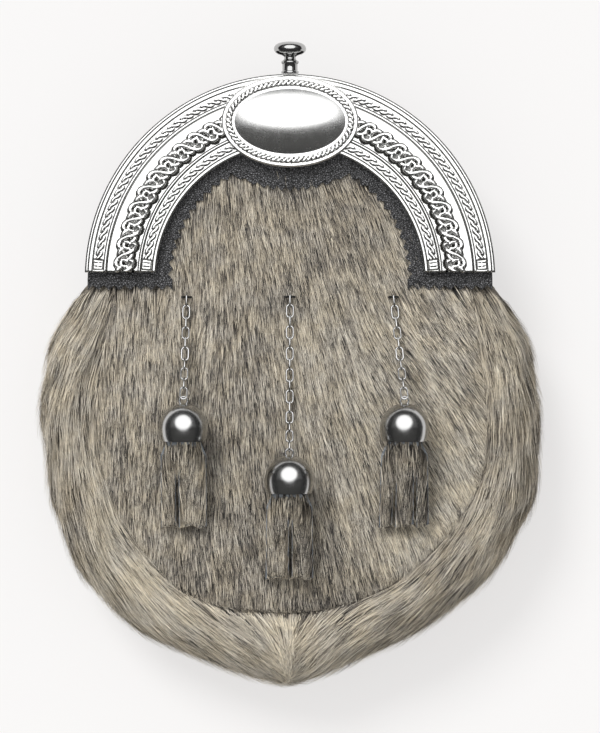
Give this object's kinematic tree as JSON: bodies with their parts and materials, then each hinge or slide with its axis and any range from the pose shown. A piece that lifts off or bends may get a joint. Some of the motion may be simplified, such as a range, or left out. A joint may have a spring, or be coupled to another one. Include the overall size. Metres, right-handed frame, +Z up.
{
  "type": "sporran pouch",
  "caption": "Dress sporran: fur pouch with a deep fur rim, pinked leather yoke, cast half-round cantle with knotwork and oval boss, finial, and chains with bells and fur tassels.",
  "frame": {"origin": "on the surface that the pouch lies on, under the middle of its outline", "axes": "+Z up through the front of the pouch, +Y to the finial, +X to the right of the front"},
  "size_m": [0.2002, 0.2576, 0.0635],
  "materials": {
    "front_fur": "short straight fur, grey-beige",
    "rim_fur": "long straight fur, grey-beige with paler tips",
    "tassel_fur": "short fur on cut hide strips",
    "back_leather": "matt black hide",
    "black_leather": "grained black leather, satin",
    "antiqued_silver": "satin plate with blackened recesses",
    "polished_silver": "mirror polish",
    "dark_staple": "blackened wire"
  },
  "bodies": {
    "root": {"back_panel": "back_leather", "front_pelt": "front_fur", "fur_rim": "rim_fur", "leather_yoke": "black_leather", "gusset_left": "black_leather", "gusset_right": "black_leather", "belt_loop_left": "black_leather", "belt_loop_right": "black_leather", "cantle": "antiqued_silver", "oval_boss": "polished_silver", "finial": "antiqued_silver", "chain_eye_left": "dark_staple", "chain_eye_middle": "dark_staple", "chain_eye_right": "dark_staple", "bell_left": "polished_silver", "bell_middle": "polished_silver", "bell_right": "polished_silver", "tassel_left": "tassel_fur", "tassel_middle": "tassel_fur", "tassel_right": "tassel_fur", "chain_left_link_01": "antiqued_silver", "chain_left_link_02": "antiqued_silver", "chain_left_link_03": "antiqued_silver", "chain_left_link_04": "antiqued_silver", "chain_left_link_05": "antiqued_silver", "chain_left_link_06": "antiqued_silver", "chain_left_link_07": "antiqued_silver", "chain_left_link_08": "antiqued_silver", "chain_left_link_09": "antiqued_silver", "chain_left_link_10": "antiqued_silver", "chain_middle_link_01": "antiqued_silver", "chain_middle_link_02": "antiqued_silver", "chain_middle_link_03": "antiqued_silver", "chain_middle_link_04": "antiqued_silver", "chain_middle_link_05": "antiqued_silver", "chain_middle_link_06": "antiqued_silver", "chain_middle_link_07": "antiqued_silver", "chain_middle_link_08": "antiqued_silver", "chain_middle_link_09": "antiqued_silver", "chain_middle_link_10": "antiqued_silver", "chain_middle_link_11": "antiqued_silver", "chain_middle_link_12": "antiqued_silver", "chain_middle_link_13": "antiqued_silver", "chain_middle_link_14": "antiqued_silver", "chain_middle_link_15": "antiqued_silver", "chain_right_link_01": "antiqued_silver", "chain_right_link_02": "antiqued_silver", "chain_right_link_03": "antiqued_silver", "chain_right_link_04": "antiqued_silver", "chain_right_link_05": "antiqued_silver", "chain_right_link_06": "antiqued_silver", "chain_right_link_07": "antiqued_silver", "chain_right_link_08": "antiqued_silver", "chain_right_link_09": "antiqued_silver", "chain_right_link_10": "antiqued_silver"}
  },
  "joints": []
}
